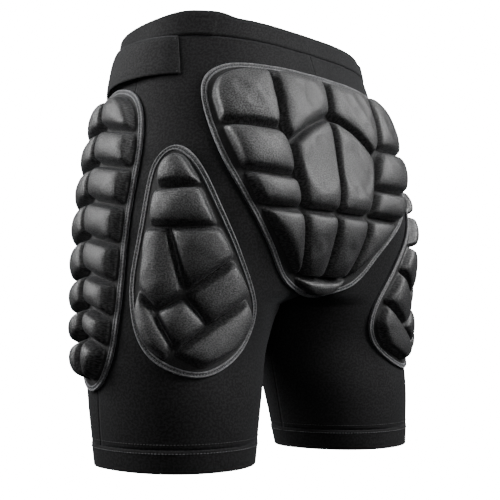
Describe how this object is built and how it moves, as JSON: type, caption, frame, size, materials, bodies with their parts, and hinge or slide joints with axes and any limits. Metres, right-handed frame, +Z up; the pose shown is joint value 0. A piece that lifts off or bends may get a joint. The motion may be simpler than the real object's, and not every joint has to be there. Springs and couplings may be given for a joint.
{
  "type": "padded impact shorts",
  "caption": "Close-fitting dark knit shorts with raised foam cell pads over the seat, hips and backs of the thighs, an elastic waist and side adjuster straps.",
  "frame": {"origin": "middle of the bounding box seen from above, on the plane of the leg hems", "axes": "+X to the wearer's left, +Y to the wearer's back, +Z up towards the waist"},
  "size_m": [0.4474, 0.2566, 0.45],
  "materials": {
    "knit_shell": "matte fine knit",
    "folded_band": "matte knit with stitched folds",
    "elastic": "woven elastic",
    "strap_webbing": "brushed elastic webbing",
    "fastener_patch": "hook and loop tape",
    "pad_cover": "close woven cloth with a soft sheen, pressed over foam",
    "pad_base": "pressed cloth in the grooves",
    "edge_binding": "stitched edge cord"
  },
  "bodies": {
    "shorts": {"shell_front_left": "knit_shell", "shell_front_right": "knit_shell", "shell_rear_left": "knit_shell", "shell_rear_right": "knit_shell", "crotch_gusset": "knit_shell", "waistband": "folded_band", "waist_elastic": "elastic", "hem_left": "folded_band", "hem_right": "folded_band", "strap_loop_left": "fastener_patch", "strap_loop_right": "fastener_patch", "seat_pad_base": "pad_base", "seat_pad_cells": "pad_cover", "seat_pad_binding": "edge_binding", "thigh_pad_base_left": "pad_base", "thigh_pad_base_right": "pad_base", "thigh_pad_cells_left": "pad_cover", "thigh_pad_cells_right": "pad_cover", "thigh_pad_binding_left": "edge_binding", "thigh_pad_binding_right": "edge_binding", "hip_pad_base_left": "pad_base", "hip_pad_base_right": "pad_base", "hip_pad_cells_left": "pad_cover", "hip_pad_cells_right": "pad_cover", "hip_pad_binding_left": "edge_binding", "hip_pad_binding_right": "edge_binding"},
    "strap_left": {"waist_strap_left": "strap_webbing", "strap_hook_left": "fastener_patch"},
    "strap_right": {"waist_strap_right": "strap_webbing", "strap_hook_right": "fastener_patch"}
  },
  "joints": [
    {"name": "strap_peel_left", "type": "hinge", "parent": "shorts", "child": "strap_left", "pos_m": [0.14635, 0.03735, 0.4038], "axis": [-0.14, -0.269, 0.9529], "range_deg": [0, 90]},
    {"name": "strap_peel_right", "type": "hinge", "parent": "shorts", "child": "strap_right", "pos_m": [-0.14635, 0.03735, 0.4038], "axis": [-0.14, 0.269, -0.9529], "range_deg": [0, 90]}
  ]
}
